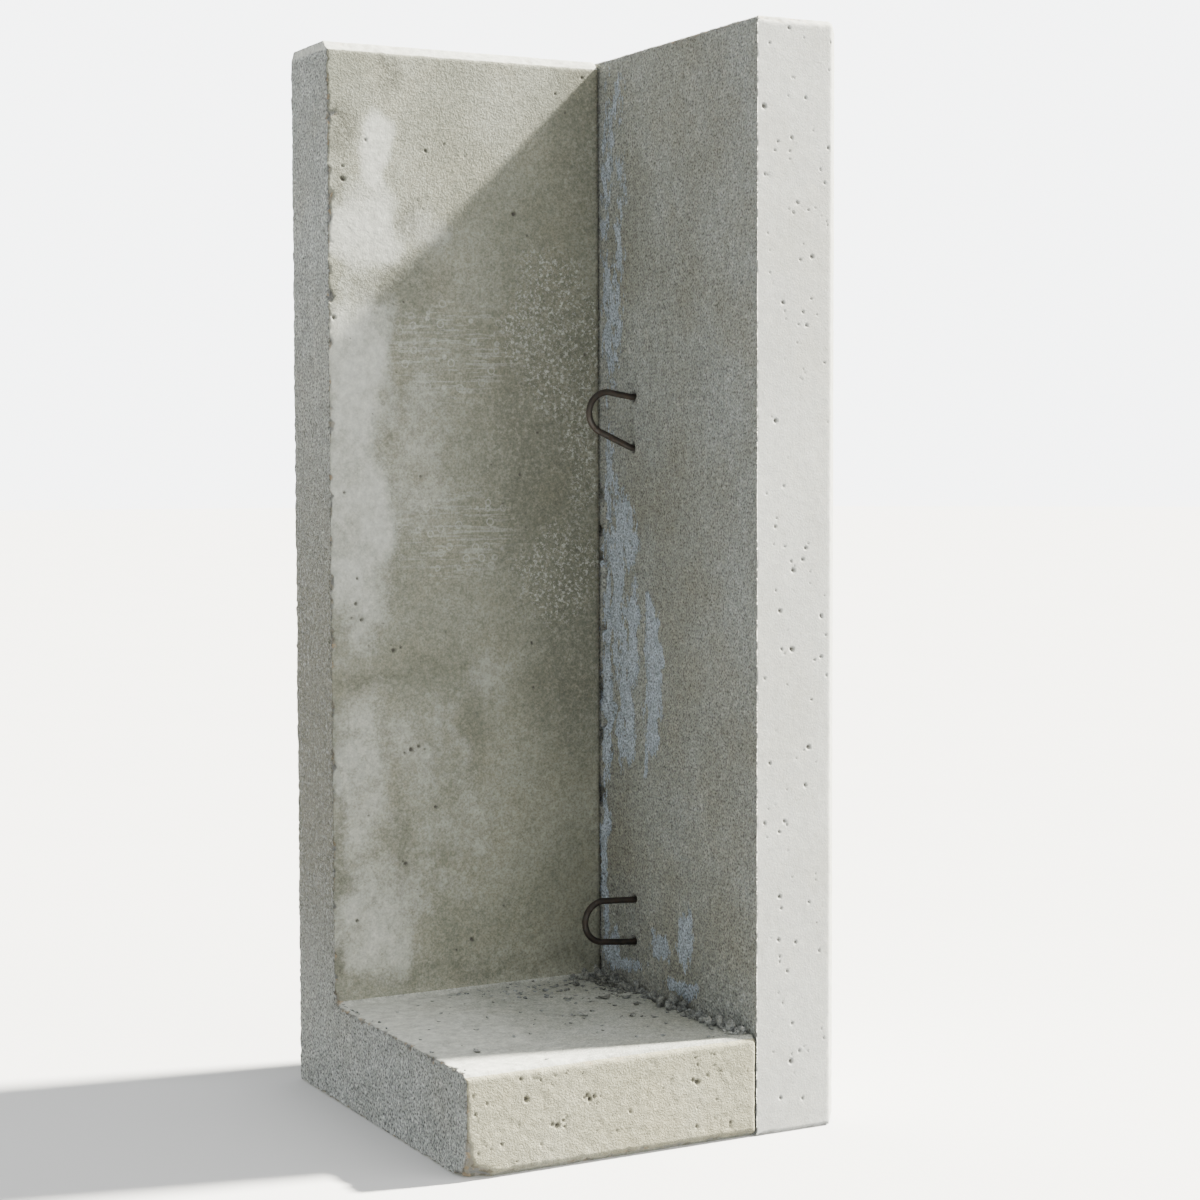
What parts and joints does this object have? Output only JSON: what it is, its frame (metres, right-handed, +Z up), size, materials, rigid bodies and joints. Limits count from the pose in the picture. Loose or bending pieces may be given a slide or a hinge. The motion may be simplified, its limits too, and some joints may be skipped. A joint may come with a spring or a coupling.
{
  "type": "precast concrete retaining wall corner unit",
  "caption": "Tall precast concrete retaining-wall corner unit: stem wall on a foot with a full-height side panel, cast-in lifting loops and hidden reinforcement.",
  "frame": {"origin": "middle of the base, on the ground", "axes": "+X along the stem from its left end to the side panel, +Y from the foot's front edge to the stem's back, +Z up"},
  "size_m": [0.49, 0.5, 1.3],
  "materials": {
    "concrete_l": "matte",
    "concrete_panel": "matte",
    "spacer_concrete": "matte",
    "loop_steel": "matte",
    "cage_steel": "matte"
  },
  "bodies": {
    "root": {"stem_and_foot": "concrete_l", "side_panel": "concrete_panel", "upper_lifting_loop": "loop_steel", "lower_lifting_loop": "loop_steel", "stem_bar_1": "cage_steel", "stem_bar_2": "cage_steel", "stem_bar_3": "cage_steel", "foot_bar_1": "cage_steel", "foot_bar_2": "cage_steel", "foot_bar_3": "cage_steel", "stem_cross_bar_1": "cage_steel", "stem_cross_bar_2": "cage_steel", "stem_cross_bar_3": "cage_steel", "stem_cross_bar_4": "cage_steel", "stem_cross_bar_5": "cage_steel", "foot_bottom_cross_bar_1": "cage_steel", "foot_bottom_cross_bar_2": "cage_steel", "foot_top_cross_bar_1": "cage_steel", "foot_top_cross_bar_2": "cage_steel", "stem_starter_bar_1": "cage_steel", "stem_starter_bar_2": "cage_steel", "stem_starter_bar_3": "cage_steel", "stem_starter_bar_4": "cage_steel", "stem_starter_bar_5": "cage_steel", "foot_starter_bar_1": "cage_steel", "foot_starter_bar_2": "cage_steel", "panel_mesh": "cage_steel", "foot_spacer_1": "spacer_concrete", "foot_spacer_2": "spacer_concrete", "stem_spacer_1": "spacer_concrete", "stem_spacer_2": "spacer_concrete", "panel_spacer_1": "spacer_concrete", "panel_spacer_2": "spacer_concrete", "panel_spacer_3": "spacer_concrete", "panel_spacer_4": "spacer_concrete"}
  },
  "joints": []
}
